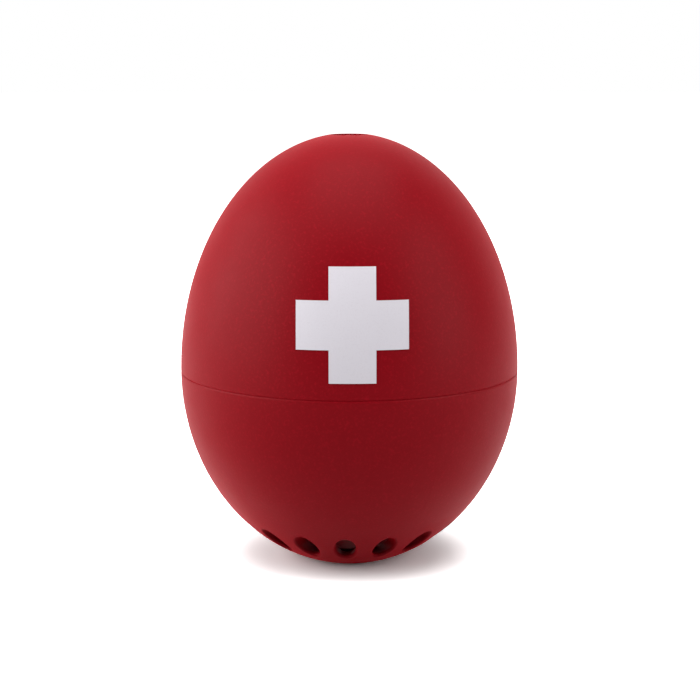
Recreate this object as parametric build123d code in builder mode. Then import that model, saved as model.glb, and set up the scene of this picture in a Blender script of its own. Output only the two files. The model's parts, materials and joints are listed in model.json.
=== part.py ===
from build123d import *

import os
from math import asin, cos, degrees, radians, sin, sqrt

# A musical egg timer: a plastic egg the size of a hen's egg, which is boiled in the pot with the eggs. Water
# runs in through the ring of holes above the foot and round a sealed capsule, whose sensor feels the heat and
# whose sounder plays. Millimetres. The origin is the centre of the foot, +Z runs up the egg, -Y is the front.

# ---- Egg ----

egg_diameter = 47.5
seam_height = 27.0
crown_height = 33.0
foot_diameter = 12.0
wall = 1.8
floor_thickness = 1.8
foot_edge_radius = 0.4
seam_chamfer = 0.12

# The lower shell's lip stands inside a rebate in the upper shell.
lip_height = 2.5
lip_thickness = 0.8
lap_clearance = 0.05
lap_headroom = 0.2

# Ring of water and sound holes. The lower shell is turned a little from the printed front.
hole_count = 16
hole_diameter = 2.9
hole_height = 4.7
hole_tilt = 7.5
hole_rim_radius = 0.3
shell_turn = -2.2

# Moulding gate: a shallow dish at the crown with the gate's stub in it.
dish_diameter = 5.0
dish_depth = 0.45
dish_rim_radius = 0.15
stub_diameter = 0.9
stub_height = 0.15

# Plain cross printed on the front, from a pad that comes in a little from above. Its jig sets it down a touch
# to the right and turned by half a degree.
cross_width = 14.5
cross_depth = 14.75
upright_width = 6.1
crossbar_width = 6.25
cross_height = 35.85
cross_shift = 0.2
cross_roll = 0.5
pad_tilt = 2.0
ink_thickness = 0.08
ink_gap = 0.01

# Ribs that carry the capsule in the lower shell, and fins that hold it down from the upper shell.
rib_count = 4
rib_thickness = 1.2
water_space = 10.2
rib_top = 21.0
seat_width = 3.0
seat_clearance = 0.15
fin_top = 40.0
fin_width = 1.7
fin_clearance = 0.1
fin_lip_gap = 0.4

# ---- Capsule ----

capsule_height = 15.0
capsule_gap = 1.5
capsule_wall = 1.6
capsule_floor = 1.2
capsule_edge_radius = 0.8
flange_width = 1.44
flange_thickness = 1.8
lid_thickness = 1.8
lid_edge_chamfer = 0.3
spigot_thickness = 1.2
spigot_depth = 1.5
spigot_clearance = 0.15
hub_radius = 5.0
spoke_count = 8
spoke_width = 0.9
spoke_end_gap = 1.2
lid_relief = 0.6

# Silicone ring in a groove in the capsule's rim.
gasket_width = 1.4
gasket_height = 1.0
gasket_clearance = 0.05
groove_land = 0.5

# Lid screws: thread-forming, pan head, in ears outside the seal.
screw_count = 4
screw_diameter = 2.2
screw_root_diameter = 1.7
screw_pitch = 0.8
screw_length = 6.5
screw_head_diameter = 4.0
screw_head_height = 1.4
screw_head_radius = 0.5
screw_offset = 2.2
screw_clearance = 0.05
lid_hole_clearance = 0.15
ear_radius = 2.3
ear_gap = 0.4
boss_bottom_wall = 0.9
screw_end_gap = 0.3
recess_width = 0.6
recess_length = 2.2
recess_depth = 0.7

# Posts and screws that hold the circuit board.
post_count = 3
post_radius = 2.0
post_gap = 0.3
post_web_thickness = 1.0
post_web_drop = 0.6
board_screw_diameter = 1.6
board_screw_root_diameter = 1.2
board_screw_pitch = 0.6
board_screw_length = 5.0
board_screw_head_diameter = 3.2
board_screw_head_height = 1.1
board_screw_head_radius = 0.35
board_hole_clearance = 0.1

# Well in the capsule's floor that dips the temperature sensor into the water.
well_radius = 2.2
well_bore_radius = 1.4
well_depth = 3.4
well_end_wall = 1.0
well_edge_radius = 0.9
well_gap = 0.4

# ---- Electronics ----

# Circuit board
board_thickness = 1.2
board_edge_gap = 0.3
board_height = 8.0

# Sounder: a ceramic layer on a brass plate, glued on a ring in the capsule's floor.
plate_diameter = 20.0
plate_thickness = 0.2
ceramic_diameter = 15.0
ceramic_thickness = 0.22
sounder_ring_width = 2.0
sounder_ring_height = 0.8

# Lithium coin cell, 20 mm across and 3.2 mm high, its smaller negative cap down.
cell_diameter = 20.0
cell_height = 3.2
cell_sheet = 0.25
cell_cap_radius = 8.9
cell_cap_drop = 0.25
cell_ring_width = 0.3
cathode_thickness = 1.6

# Contacts
contact_width = 5.0
contact_length = 14.0
contact_foot = 3.0
contact_sheet = 0.15
contact_rise = 0.3
strap_width = 4.5
strap_sheet = 0.25
strap_side_gap = 0.35
strap_foot = 2.6
strap_turn = 15.0
strap_bend_radius = 0.15

# Temperature sensor
bead_radius = 1.1
bead_height = 2.4
bead_rise = 0.3
leg_radius = 0.2
leg_spacing = 1.0
leg_stub = 0.6
potting_gap = 0.02
potting_shortfall = 0.3

# Soldered parts
chip_blob_radius = 4.5
chip_blob_height = 1.5
coil_radius = 2.5
coil_height = 4.0
coil_flange = 0.7
coil_neck_radius = 1.0
winding_radius = 2.2
winding_gap = 0.03
crystal_radius = 1.0
crystal_length = 6.0
crystal_lead_radius = 0.15
crystal_lead_reach = 1.2
transistor_size = (2.9, 1.3, 1.0)
transistor_leg_size = (0.4, 0.55, 0.15)
transistor_leg_spacing = 0.95
resistor_size = (1.6, 0.8, 0.45)
capacitor_size = (2.0, 1.25, 0.85)
terminal_share = 0.2
lead_radius = 0.4
solder_radius = 0.65
solder_tip_radius = 0.3
solder_height = 0.5
solder_pin_radius = 0.3
board_via_clearance = 0.05
dab_radius = 0.8
dab_height = 0.35

# Layout of the board, in the capsule's own frame: angles in degrees, and distances from the axis.
screw_start = 45.0
post_start = 45.0
chip_angle = 130.0
chip_circle = 4.6
coil_angle = 330.0
coil_circle = 7.2
crystal_angle = 60.0
crystal_circle = 7.0
resistor_angles = (75, 90, 105, 345)
capacitor_angles = (122, 140)
transistor_angle = 318

# Sounder's leads, red then black: where each leaves the board, counted on from the temperature sensor, where
# it starts on the sounder, counted on from there, and how it rises.
lead_turns = (20, 35)
lead_start_turns = (20, 10)
lead_bend_heights = (1.6, 2.2)
lead_end_run = 2.2
lead_bend_radius = 1.0

# How near a point must be to a level or a surface to be picked as lying on it.
pick_tolerance = 0.001

# ---- Sizes that follow ----

front_angle = 270.0
egg_radius = egg_diameter / 2
foot_radius = foot_diameter / 2
inner_radius = egg_radius - wall
total_height = seam_height + crown_height

# Both shells are half ellipsoids about the seam. The lower one is cut off by its foot.
lower_drop = seam_height / sqrt(1 - (foot_radius / egg_radius) ** 2)
inner_drop = lower_drop - wall
inner_rise = crown_height - wall
mid_radius = egg_radius - wall / 2
mid_drop = lower_drop - wall / 2
mid_rise = crown_height - wall / 2

lip_outer_radius = inner_radius + lip_thickness
rebate_radius = lip_outer_radius + lap_clearance
rebate_top = seam_height + lip_height + lap_headroom

hole_pitch = 360 / hole_count
hole_ring_radius = egg_radius * sqrt(1 - ((seam_height - hole_height) / lower_drop) ** 2)
rib_turn = front_angle + shell_turn + hole_pitch / 2
capsule_turn = rib_turn - front_angle


def bowl_radius(height):
    """Inner radius of the lower shell at a level."""
    return inner_radius * sqrt(1 - ((seam_height - height) / inner_drop) ** 2)


seat_height = floor_thickness + water_space
rim_height = seat_height + capsule_height
lid_top = rim_height + lid_thickness
boss_depth = screw_length - lid_thickness + screw_end_gap + boss_bottom_wall
boss_bottom = rim_height - boss_depth
capsule_radius = min(
    bowl_radius(seat_height) - capsule_gap,
    bowl_radius(min(boss_bottom, seam_height)) - ear_gap - ear_radius - screw_offset,
)
cup_radius = capsule_radius - capsule_wall
cup_floor = seat_height + capsule_floor
flange_radius = capsule_radius + flange_width
screw_circle = capsule_radius + screw_offset
ear_web = screw_circle - capsule_radius + capsule_wall / 2

groove_inner_radius = cup_radius + groove_land
groove_outer_radius = groove_inner_radius + gasket_width + 2 * gasket_clearance
pocket_radius = capsule_radius + seat_clearance

post_circle = plate_diameter / 2 + post_gap + post_radius
board_bottom = cup_floor + board_height
board_top = board_bottom + board_thickness
board_radius = cup_radius - board_edge_gap
sensor_angle = post_start + 180.0

well_tip = seat_height - well_depth
sensor_circle = min(post_circle, bowl_radius(well_tip) - well_gap - well_radius)
well_bore_bottom = well_tip + well_end_wall
bead_bottom = well_bore_bottom + bead_rise
bead_top = bead_bottom + bead_height

plate_bottom = cup_floor + sounder_ring_height
plate_top = plate_bottom + plate_thickness
ceramic_top = plate_top + ceramic_thickness

cell_radius = cell_diameter / 2
contact_top = board_top + contact_rise
cell_top = contact_top + cell_height
can_bottom = contact_top + cell_cap_drop


# ---- Planes and profiles that several pieces share ----

def level(height):
    """Level plane at a height, turned with the capsule."""
    return Plane.XY.offset(height).rotated((0, 0, capsule_turn))


def upright(turn):
    """Upright plane through the egg's axis, its x outwards at a turn about the axis."""
    angle = radians(turn)
    return Plane(origin=(0, 0, 0), x_dir=(cos(angle), sin(angle), 0), z_dir=(sin(angle), -cos(angle), 0))


def half_section(radius, rise, lowest, highest, innermost=0.0):
    """Quarter ellipse about the seam's centre, between two levels and outside an inner radius.

    The rise is the ellipse's height above the seam, or below it where it is negative.
    """
    with BuildLine() as outline:
        Bezier(
            (radius, seam_height),
            (radius, seam_height + rise),
            (0, seam_height + rise),
            weights=(1, sqrt(0.5), 1),
        )
        Polyline((0, seam_height + rise), (0, seam_height), (radius, seam_height))
    make_face(outline.edges())
    with Locations((innermost, lowest)):
        Rectangle(radius, highest - lowest, align=(Align.MIN, Align.MIN), mode=Mode.INTERSECT)


def ring(outer, inner):
    """Flat ring in the current sketch."""
    Circle(outer)
    Circle(inner, mode=Mode.SUBTRACT)


def ears():
    """Ears round the lid screws, with webs back to the capsule's wall, in the current sketch."""
    with PolarLocations(screw_circle, screw_count, start_angle=screw_start):
        Circle(ear_radius)
        Rectangle(ear_web, 2 * ear_radius, align=(Align.MAX, Align.CENTER))


def outer_circle_at(part, height):
    """Largest circular edge of a part at a level."""
    edges = part.edges().filter_by(GeomType.CIRCLE)
    at_level = edges.filter_by_position(Axis.Z, height - pick_tolerance, height + pick_tolerance)
    return at_level.sort_by(SortBy.RADIUS)[-1]


def round_place(angle, radius):
    """Place in a level plane at an angle and a distance from the axis, turned to face outwards."""
    return Location((radius * cos(radians(angle)), radius * sin(radians(angle)), 0), (0, 0, angle))


def finish(builder, label):
    """Name a finished piece and write it to its own file."""
    builder.part.label = label
    export_step(builder.part, f"parts/{label}.step")


os.makedirs("parts", exist_ok=True)


# ---- Lower shell ----

def seam_free_plane():
    """Upright plane between two holes, so that no hole crosses a turned surface's seam."""
    return upright(rib_turn + hole_pitch)


def hole_plane(index):
    """Plane outside the shell, across one hole's axis and facing out along it."""
    angle = radians(front_angle + shell_turn + index * hole_pitch)
    tilt = radians(hole_tilt)
    outwards = Vector(cos(tilt) * cos(angle), cos(tilt) * sin(angle), sin(tilt))
    mouth = Vector(hole_ring_radius * cos(angle), hole_ring_radius * sin(angle), hole_height)
    return Plane(origin=mouth + outwards * hole_out, x_dir=(-sin(angle), cos(angle), 0), z_dir=outwards)


def on_outside_below_seam(edge):
    """Whether an edge is a hole's rim: a curve on the lower shell's outer surface, above its foot."""
    point = edge.position_at(0)
    on_ellipse = (point.X**2 + point.Y**2) / egg_radius**2 + ((seam_height - point.Z) / lower_drop) ** 2
    return abs(on_ellipse - 1) < pick_tolerance and edge.is_closed and edge.geom_type == GeomType.BSPLINE


hole_out = 2 * hole_diameter
hole_in = hole_ring_radius - bowl_radius(hole_height - hole_diameter / 2 - floor_thickness / 4)

with BuildPart() as lower_shell:
    with BuildSketch(seam_free_plane()):
        half_section(egg_radius, -lower_drop, 0, seam_height)
    revolve(axis=Axis.Z)
    with BuildSketch(seam_free_plane()):
        half_section(inner_radius, -inner_drop, floor_thickness, seam_height)
    revolve(axis=Axis.Z, mode=Mode.SUBTRACT)
    fillet(outer_circle_at(lower_shell, 0), foot_edge_radius)
    chamfer(outer_circle_at(lower_shell, seam_height), seam_chamfer)
    with BuildSketch(Plane.XY.offset(seam_height)):
        ring(lip_outer_radius, inner_radius)
    extrude(amount=lip_height)
    for rib in range(rib_count):
        with BuildSketch(upright(rib_turn + rib * 360 / rib_count)):
            half_section(mid_radius, -mid_drop, floor_thickness, rib_top, pocket_radius - seat_width)
            with Locations((0, seat_height)):
                Rectangle(pocket_radius, rib_top, align=(Align.MIN, Align.MIN), mode=Mode.SUBTRACT)
        extrude(amount=rib_thickness / 2, both=True)
    for hole in range(hole_count):
        with BuildSketch(hole_plane(hole)):
            Circle(hole_diameter / 2)
        extrude(amount=-hole_out - hole_in, mode=Mode.SUBTRACT)
    fillet([edge for edge in lower_shell.edges() if on_outside_below_seam(edge)], hole_rim_radius)

finish(lower_shell, "lower_shell")

# ---- Upper shell ----

fin_bottom = lid_top + fin_clearance
fin_radius = flange_radius - fin_width

with BuildPart() as upper_shell:
    with BuildSketch(seam_free_plane()):
        half_section(egg_radius, crown_height, seam_height, total_height)
    revolve(axis=Axis.Z)
    with BuildSketch(seam_free_plane()):
        half_section(inner_radius, inner_rise, seam_height, total_height)
    revolve(axis=Axis.Z, mode=Mode.SUBTRACT)
    with BuildSketch(Plane.XY.offset(seam_height)):
        Circle(rebate_radius)
    extrude(amount=rebate_top - seam_height, mode=Mode.SUBTRACT)
    chamfer(outer_circle_at(upper_shell, seam_height), seam_chamfer)
    with BuildSketch(Plane.XY.offset(total_height - dish_depth)):
        Circle(dish_diameter / 2)
    extrude(amount=dish_depth, mode=Mode.SUBTRACT)
    fillet(upper_shell.edges().filter_by(GeomType.CIRCLE).sort_by(Axis.Z)[-1], dish_rim_radius)
    with BuildSketch(Plane.XY.offset(total_height - dish_depth)):
        Circle(stub_diameter / 2)
    extrude(amount=stub_height)
    for fin in range(rib_count):
        with BuildSketch(upright(rib_turn + fin * 360 / rib_count)):
            half_section(mid_radius, mid_rise, min(fin_bottom, seam_height), fin_top, fin_radius)
            with Locations((0, fin_bottom)):
                Rectangle(egg_radius, fin_top, align=(Align.MIN, Align.MIN), mode=Mode.INTERSECT)
            with Locations((inner_radius - fin_lip_gap, fin_bottom)):
                Rectangle(
                    wall + fin_lip_gap,
                    rebate_top - fin_bottom,
                    align=(Align.MIN, Align.MIN),
                    mode=Mode.SUBTRACT,
                )
        extrude(amount=rib_thickness / 2, both=True)

finish(upper_shell, "upper_shell")

# ---- Cross printed on the front ----

ink_inside = egg_radius + ink_gap
ink_outside = ink_inside + ink_thickness
ink_crown = crown_height + ink_gap
tilt = radians(pad_tilt)
pad_plane = Plane(origin=(cross_shift, 0, cross_height), x_dir=(1, 0, 0), z_dir=(0, -cos(tilt), sin(tilt)))
pad_plane = pad_plane.rotated((0, 0, cross_roll))

with BuildPart() as cross_print:
    with BuildSketch(upright(front_angle + 180)):
        half_section(ink_outside, ink_crown + ink_thickness, seam_height, total_height)
    revolve(axis=Axis.Z)
    with BuildSketch(upright(front_angle + 180)):
        half_section(ink_inside, ink_crown, seam_height, total_height)
    revolve(axis=Axis.Z, mode=Mode.SUBTRACT)
    with BuildSketch(pad_plane):
        Rectangle(upright_width, cross_depth)
        Rectangle(cross_width, crossbar_width)
    extrude(amount=egg_diameter, mode=Mode.INTERSECT)

finish(cross_print, "cross_print")

# ---- Capsule body ----

pilot_radius = screw_diameter / 2 + screw_clearance
board_pilot_radius = board_screw_diameter / 2 + screw_clearance
pilot_bottom = boss_bottom + boss_bottom_wall
sounder_ring_middle = plate_diameter / 2 - sounder_ring_width / 2

with BuildPart() as capsule_body:
    with BuildSketch(level(seat_height)):
        Circle(capsule_radius)
    extrude(amount=capsule_height)
    fillet(outer_circle_at(capsule_body, seat_height), capsule_edge_radius)
    with BuildSketch(level(rim_height - flange_thickness)):
        Circle(flange_radius)
    extrude(amount=flange_thickness)
    with BuildSketch(level(boss_bottom)):
        ears()
    extrude(amount=boss_depth)
    with BuildSketch(level(well_tip)):
        with Locations(round_place(sensor_angle, sensor_circle)):
            Circle(well_radius)
    extrude(amount=well_depth + capsule_floor / 2)
    fillet(outer_circle_at(capsule_body, well_tip), well_edge_radius)
    with BuildSketch(level(cup_floor)):
        Circle(cup_radius)
    extrude(amount=capsule_height, mode=Mode.SUBTRACT)
    with BuildSketch(level(cup_floor)):
        ring(sounder_ring_middle + sounder_ring_width / 2, sounder_ring_middle - sounder_ring_width / 2)
    extrude(amount=sounder_ring_height)
    with BuildSketch(level(cup_floor)):
        with PolarLocations(post_circle, post_count, start_angle=post_start):
            Circle(post_radius)
    extrude(amount=board_bottom - cup_floor)
    with BuildSketch(level(cup_floor)):
        with PolarLocations(post_circle, post_count, start_angle=post_start):
            Rectangle(
                cup_radius - post_circle + capsule_wall / 2,
                post_web_thickness,
                align=(Align.MIN, Align.CENTER),
            )
    extrude(amount=board_bottom - cup_floor - post_web_drop)
    with BuildSketch(level(board_bottom)):
        with PolarLocations(post_circle, post_count, start_angle=post_start):
            Circle(board_pilot_radius)
    extrude(amount=board_thickness - board_screw_length - screw_end_gap, mode=Mode.SUBTRACT)
    with BuildSketch(level(well_bore_bottom)):
        with Locations(round_place(sensor_angle, sensor_circle)):
            Circle(well_bore_radius)
    extrude(amount=cup_floor - well_bore_bottom, mode=Mode.SUBTRACT)
    with BuildSketch(level(rim_height)):
        ring(groove_outer_radius, groove_inner_radius)
    extrude(amount=-gasket_height, mode=Mode.SUBTRACT)
    with BuildSketch(level(pilot_bottom)):
        with PolarLocations(screw_circle, screw_count, start_angle=screw_start):
            Circle(pilot_radius)
    extrude(amount=rim_height - pilot_bottom, mode=Mode.SUBTRACT)

finish(capsule_body, "capsule_body")

# ---- Capsule gasket ----

with BuildPart() as capsule_gasket:
    with BuildSketch(level(rim_height - gasket_height)):
        ring(groove_outer_radius - gasket_clearance, groove_inner_radius + gasket_clearance)
    extrude(amount=gasket_height)

finish(capsule_gasket, "capsule_gasket")

# ---- Capsule lid ----

spoke_length = capsule_radius - spoke_end_gap
spigot_radius = cup_radius - spigot_clearance

with BuildPart() as capsule_lid:
    with BuildSketch(level(rim_height)):
        Circle(flange_radius)
        ears()
    extrude(amount=lid_thickness)
    chamfer(capsule_lid.faces().sort_by(Axis.Z)[-1].edges(), lid_edge_chamfer)
    with BuildSketch(level(rim_height)):
        ring(spigot_radius, spigot_radius - spigot_thickness)
    extrude(amount=-spigot_depth)
    with BuildSketch(level(lid_top)):
        Circle(hub_radius)
        with PolarLocations(0, spoke_count):
            Rectangle(spoke_length, spoke_width, align=(Align.MIN, Align.CENTER))
    extrude(amount=lid_relief)
    with BuildSketch(level(rim_height)):
        with PolarLocations(screw_circle, screw_count, start_angle=screw_start):
            Circle(screw_diameter / 2 + lid_hole_clearance)
    extrude(amount=lid_thickness, mode=Mode.SUBTRACT)

finish(capsule_lid, "capsule_lid")


# ---- Screws ----

def screw(diameter, root_diameter, pitch, length, head_diameter, head_height, head_radius):
    """Pan-head screw with a cross recess, its head's underside at the origin and its thread below."""
    crest = diameter / 2
    root = root_diameter / 2
    outline = [(0, 0), (root, 0)]
    turn = 0
    while (turn + 2) * pitch < length:
        start = -(turn + 0.5) * pitch
        outline += [(root, start), (crest, start - pitch / 3), (root, start - 2 * pitch / 3)]
        turn += 1
    outline += [(root, -length + pitch), (0, -length), (0, 0)]
    with BuildPart() as made:
        with BuildSketch(Plane.XZ):
            with BuildLine():
                Polyline(*outline)
            make_face()
        revolve(axis=Axis.Z)
        with BuildSketch(Plane.XY):
            Circle(head_diameter / 2)
        extrude(amount=head_height)
        fillet(outer_circle_at(made, head_height), head_radius)
        with BuildSketch(Plane.XY.offset(head_height)):
            Rectangle(recess_length * head_diameter / screw_head_diameter, recess_width)
            Rectangle(recess_width, recess_length * head_diameter / screw_head_diameter)
        extrude(amount=-recess_depth, mode=Mode.SUBTRACT)
    return made.part


lid_screw = screw(
    screw_diameter,
    screw_root_diameter,
    screw_pitch,
    screw_length,
    screw_head_diameter,
    screw_head_height,
    screw_head_radius,
)
board_screw = screw(
    board_screw_diameter,
    board_screw_root_diameter,
    board_screw_pitch,
    board_screw_length,
    board_screw_head_diameter,
    board_screw_head_height,
    board_screw_head_radius,
)

with BuildPart(level(lid_top)) as capsule_screws:
    with PolarLocations(screw_circle, screw_count, start_angle=screw_start):
        add(lid_screw)

finish(capsule_screws, "capsule_screws")

with BuildPart(level(board_top)) as board_screws:
    with PolarLocations(post_circle, post_count, start_angle=post_start):
        add(board_screw)

finish(board_screws, "board_screws")

# ---- Circuit board ----

lead_angles = [sensor_angle + turn for turn in lead_turns]
lead_via_radius = solder_pin_radius + board_via_clearance
leg_via_radius = leg_radius + board_via_clearance


def sensor_leg_places():
    """Places of the temperature sensor's two legs, side by side round the board."""
    spread = degrees(asin(leg_spacing / 2 / sensor_circle))
    return [round_place(sensor_angle + side * spread, sensor_circle) for side in (-1, 1)]


def lead_places():
    """Places where the sounder's leads come through the board."""
    return [round_place(angle, post_circle) for angle in lead_angles]


with BuildPart() as circuit_board:
    with BuildSketch(level(board_bottom)):
        Circle(board_radius)
        with PolarLocations(post_circle, post_count, start_angle=post_start):
            Circle(board_screw_diameter / 2 + board_hole_clearance, mode=Mode.SUBTRACT)
        with Locations(*sensor_leg_places()):
            Circle(leg_via_radius, mode=Mode.SUBTRACT)
        with Locations(*lead_places()):
            Circle(lead_via_radius, mode=Mode.SUBTRACT)
    extrude(amount=board_thickness)

finish(circuit_board, "circuit_board")

# ---- Coin cell: a can with the cathode, and a cap with the anode, sealed from each other by a ring ----

can_inner_radius = cell_radius - cell_sheet
ring_outer_radius = cell_cap_radius + cell_ring_width
cap_top = can_bottom + cell_sheet
cell_inside_top = cell_top - cell_sheet

with BuildPart() as coin_cell_can:
    with BuildSketch(level(can_bottom)):
        Circle(cell_radius)
    extrude(amount=cell_top - can_bottom)
    fillet(outer_circle_at(coin_cell_can, cell_top), cell_sheet)
    with BuildSketch(level(can_bottom + cell_sheet)):
        Circle(can_inner_radius)
    extrude(amount=cell_inside_top - can_bottom - cell_sheet, mode=Mode.SUBTRACT)
    with BuildSketch(level(can_bottom)):
        Circle(ring_outer_radius)
    extrude(amount=cell_sheet, mode=Mode.SUBTRACT)

finish(coin_cell_can, "coin_cell_can")

with BuildPart() as coin_cell_cap:
    with BuildSketch(level(contact_top)):
        Circle(cell_cap_radius)
    extrude(amount=cap_top - contact_top)
    fillet(outer_circle_at(coin_cell_cap, contact_top), cell_sheet)
    with BuildSketch(level(contact_top + cell_sheet)):
        Circle(cell_cap_radius - cell_sheet)
    extrude(amount=cap_top - contact_top - cell_sheet, mode=Mode.SUBTRACT)

finish(coin_cell_cap, "coin_cell_cap")

with BuildPart() as coin_cell_gasket:
    with BuildSketch(level(can_bottom)):
        ring(ring_outer_radius, cell_cap_radius)
    extrude(amount=cell_sheet)
    with BuildSketch(level(cap_top)):
        ring(can_inner_radius, cell_cap_radius - cell_sheet)
    extrude(amount=cell_sheet)

finish(coin_cell_gasket, "coin_cell_gasket")

pellet_radius = cell_cap_radius - cell_sheet - cell_ring_width

with BuildPart() as coin_cell_cathode:
    with BuildSketch(level(cell_inside_top)):
        Circle(pellet_radius)
    extrude(amount=-cathode_thickness)

finish(coin_cell_cathode, "coin_cell_cathode")

with BuildPart() as coin_cell_anode:
    with BuildSketch(level(contact_top + cell_sheet)):
        Circle(pellet_radius)
    extrude(amount=cell_inside_top - cathode_thickness - contact_top - cell_sheet)

finish(coin_cell_anode, "coin_cell_anode")

# ---- Battery contacts: a sprung strip under the cell and a strap soldered down over it ----

strap_inside = cell_radius + strap_side_gap
strap_end = strap_inside + strap_foot
strap_plane = upright(capsule_turn + strap_turn)

with BuildPart() as battery_contact:
    with BuildSketch(upright(capsule_turn + strap_turn + 90)):
        with BuildLine():
            Polyline(
                (-contact_length / 2, board_top),
                (-contact_length / 2, board_top + contact_sheet),
                (contact_foot - contact_length / 2, board_top + contact_sheet),
                (-contact_foot / 2, contact_top),
                (contact_foot / 2, contact_top),
                (contact_length / 2 - contact_foot, board_top + contact_sheet),
                (contact_length / 2, board_top + contact_sheet),
                (contact_length / 2, board_top),
                (contact_length / 2 - contact_foot, board_top),
                (contact_foot / 2, contact_top - contact_sheet),
                (-contact_foot / 2, contact_top - contact_sheet),
                (contact_foot - contact_length / 2, board_top),
                close=True,
            )
        make_face()
    extrude(amount=contact_width / 2, both=True)

finish(battery_contact, "battery_contact")

with BuildPart() as battery_strap:
    with BuildSketch(strap_plane):
        with BuildLine():
            Polyline(
                (-strap_end, board_top),
                (-strap_end, board_top + strap_sheet),
                (-strap_inside - strap_sheet, board_top + strap_sheet),
                (-strap_inside - strap_sheet, cell_top + strap_sheet),
                (strap_inside + strap_sheet, cell_top + strap_sheet),
                (strap_inside + strap_sheet, board_top + strap_sheet),
                (strap_end, board_top + strap_sheet),
                (strap_end, board_top),
                (strap_inside, board_top),
                (strap_inside, cell_top),
                (-strap_inside, cell_top),
                (-strap_inside, board_top),
                close=True,
            )
        make_face()
    extrude(amount=strap_width / 2, both=True)
    strap_top = battery_strap.faces().sort_by(Axis.Z)[-1]
    fillet(strap_top.edges().filter_by(lambda edge: edge.length < cell_diameter / 2), strap_bend_radius)

finish(battery_strap, "battery_strap")

# ---- Sounder ----

with BuildPart() as piezo_plate:
    with BuildSketch(level(plate_bottom)):
        Circle(plate_diameter / 2)
    extrude(amount=plate_thickness)

finish(piezo_plate, "piezo_plate")

with BuildPart() as piezo_ceramic:
    with BuildSketch(level(plate_top)):
        Circle(ceramic_diameter / 2)
    extrude(amount=ceramic_thickness)

finish(piezo_ceramic, "piezo_ceramic")

# The red lead starts on the ceramic and the black one on the bare edge of the plate.
lead_starts = (
    (lead_angles[0] + lead_start_turns[0], ceramic_diameter / 3, ceramic_top + dab_height),
    (lead_angles[1] + lead_start_turns[1], (ceramic_diameter + plate_diameter) / 4, plate_top + dab_height),
)


def lead_path(index):
    """Corners of a lead's route, in the capsule's own frame, from its dab up to the board."""
    angle, radius, start_height = lead_starts[index]
    start_x = radius * cos(radians(angle))
    start_y = radius * sin(radians(angle))
    end = lead_places()[index].position
    return [
        (start_x, start_y, start_height),
        (start_x, start_y, start_height + lead_bend_heights[index]),
        (end.X, end.Y, board_bottom - lead_end_run),
        (end.X, end.Y, board_bottom),
    ]


def in_capsule(point, place=Location()):
    """Point in the egg's frame, given in the capsule's own frame or from a place in it."""
    return (level(0).location * place * Location(point)).position


def lead(index):
    """One sounder lead, swept along its route."""
    corners = [in_capsule(point) for point in lead_path(index)]
    with BuildPart() as made:
        with BuildLine() as route:
            FilletPolyline(*corners, radius=lead_bend_radius)
        with BuildSketch(Plane(origin=corners[0], z_dir=(0, 0, 1))):
            Circle(lead_radius)
        sweep(path=route.wires()[0])
    print(f"lead {index}: length {route.wires()[0].length:.2f}, bend radius {lead_bend_radius}")
    return made


finish(lead(0), "piezo_lead_red")
finish(lead(1), "piezo_lead_black")

# ---- Temperature sensor in its well ----

with BuildPart() as thermistor_bead:
    with BuildSketch(level(bead_bottom)):
        with Locations(round_place(sensor_angle, sensor_circle)):
            Circle(bead_radius)
    extrude(amount=bead_height)

finish(thermistor_bead, "thermistor_bead")

with BuildPart() as thermistor_legs:
    with BuildSketch(level(bead_top)):
        with Locations(*sensor_leg_places()):
            Circle(leg_radius)
    extrude(amount=board_top + leg_stub - bead_top)

finish(thermistor_legs, "thermistor_legs")

with BuildPart() as sensor_potting:
    with BuildSketch(level(well_bore_bottom)):
        with Locations(round_place(sensor_angle, sensor_circle)):
            Circle(well_bore_radius - potting_gap)
    extrude(amount=cup_floor - potting_shortfall - well_bore_bottom)
    with BuildSketch(level(bead_bottom)):
        with Locations(round_place(sensor_angle, sensor_circle)):
            Circle(bead_radius + potting_gap)
    extrude(amount=bead_height, mode=Mode.SUBTRACT)
    with BuildSketch(level(bead_top)):
        with Locations(*sensor_leg_places()):
            Circle(leg_radius + potting_gap)
    extrude(amount=cup_floor - bead_top, mode=Mode.SUBTRACT)

finish(sensor_potting, "sensor_potting")

# ---- Parts under the board ----

chip_place = round_place(chip_angle, chip_circle)
coil_place = round_place(coil_angle, coil_circle)
crystal_place = round_place(crystal_angle, crystal_circle)
blob_sphere = (chip_blob_radius**2 + chip_blob_height**2) / (2 * chip_blob_height)

with BuildPart(level(board_bottom)) as timer_chip:
    with Locations(chip_place):
        Cylinder(chip_blob_radius, chip_blob_height, align=(Align.CENTER, Align.CENTER, Align.MAX))
        with Locations((0, 0, blob_sphere - chip_blob_height)):
            Sphere(blob_sphere, mode=Mode.INTERSECT)

finish(timer_chip, "timer_chip")

with BuildPart(level(board_bottom)) as coil_core:
    with Locations(coil_place):
        Cylinder(coil_radius, coil_height, align=(Align.CENTER, Align.CENTER, Align.MAX))
        with Locations((0, 0, -coil_flange)):
            Cylinder(
                coil_radius,
                coil_height - 2 * coil_flange,
                align=(Align.CENTER, Align.CENTER, Align.MAX),
                mode=Mode.SUBTRACT,
            )
            Cylinder(
                coil_neck_radius,
                coil_height - 2 * coil_flange,
                align=(Align.CENTER, Align.CENTER, Align.MAX),
            )

finish(coil_core, "coil_core")

with BuildPart(level(board_bottom)) as coil_winding:
    with Locations(coil_place):
        with Locations((0, 0, -coil_flange)):
            Cylinder(
                winding_radius,
                coil_height - 2 * coil_flange,
                align=(Align.CENTER, Align.CENTER, Align.MAX),
            )
            Cylinder(
                coil_neck_radius + winding_gap,
                coil_height - 2 * coil_flange,
                align=(Align.CENTER, Align.CENTER, Align.MAX),
                mode=Mode.SUBTRACT,
            )

finish(coil_winding, "coil_winding")

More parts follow.
